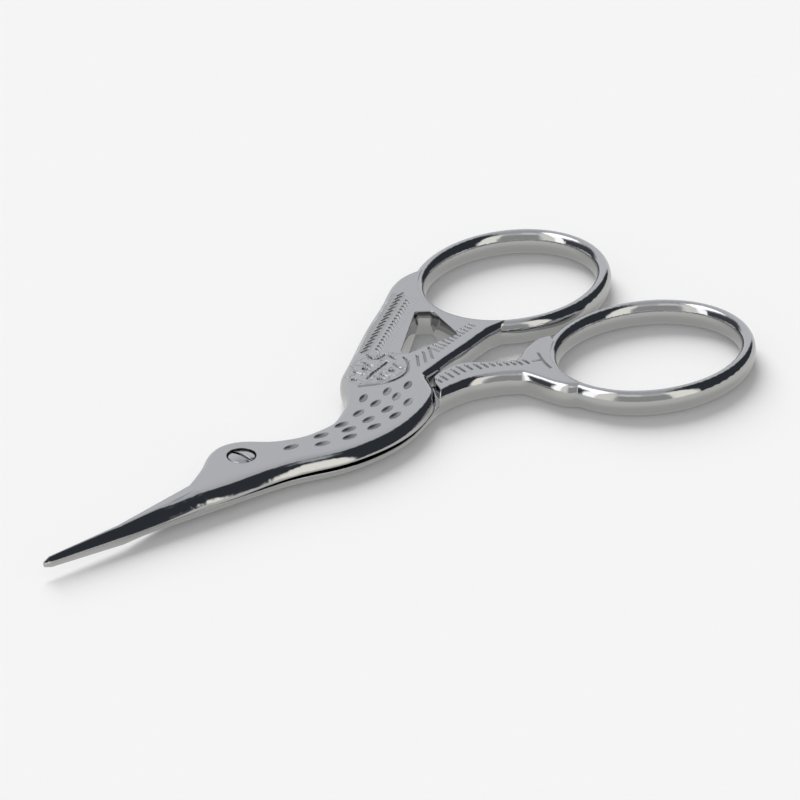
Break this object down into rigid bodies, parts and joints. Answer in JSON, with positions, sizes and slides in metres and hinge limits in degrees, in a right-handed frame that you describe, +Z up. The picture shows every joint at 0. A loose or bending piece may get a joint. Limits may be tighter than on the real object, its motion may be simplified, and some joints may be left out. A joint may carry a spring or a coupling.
{
  "type": "stork embroidery scissors",
  "caption": "Small steel embroidery scissors shaped as a stork: two crossing halves on one slotted pivot screw, with oval finger bows.",
  "frame": {"origin": "pivot axis, in the plane that the closed scissors lie on", "axes": "+X from the pivot to the finger bows, the blades point to -X, +Y towards the top half's bow, +Z up along the pivot axis"},
  "size_m": [0.09, 0.0436, 0.0031],
  "materials": {
    "polished_steel": "polished, satin on the flat faces",
    "screw_steel": "polished"
  },
  "bodies": {
    "bottom": {"bottom_half": "polished_steel", "pivot_screw": "screw_steel"},
    "top": {"top_half": "polished_steel"}
  },
  "joints": [
    {"name": "pivot", "type": "hinge", "parent": "bottom", "child": "top", "pos_m": [0, 0, 0.0015], "axis": [0, 0, 1], "range_deg": [0, 75]}
  ]
}
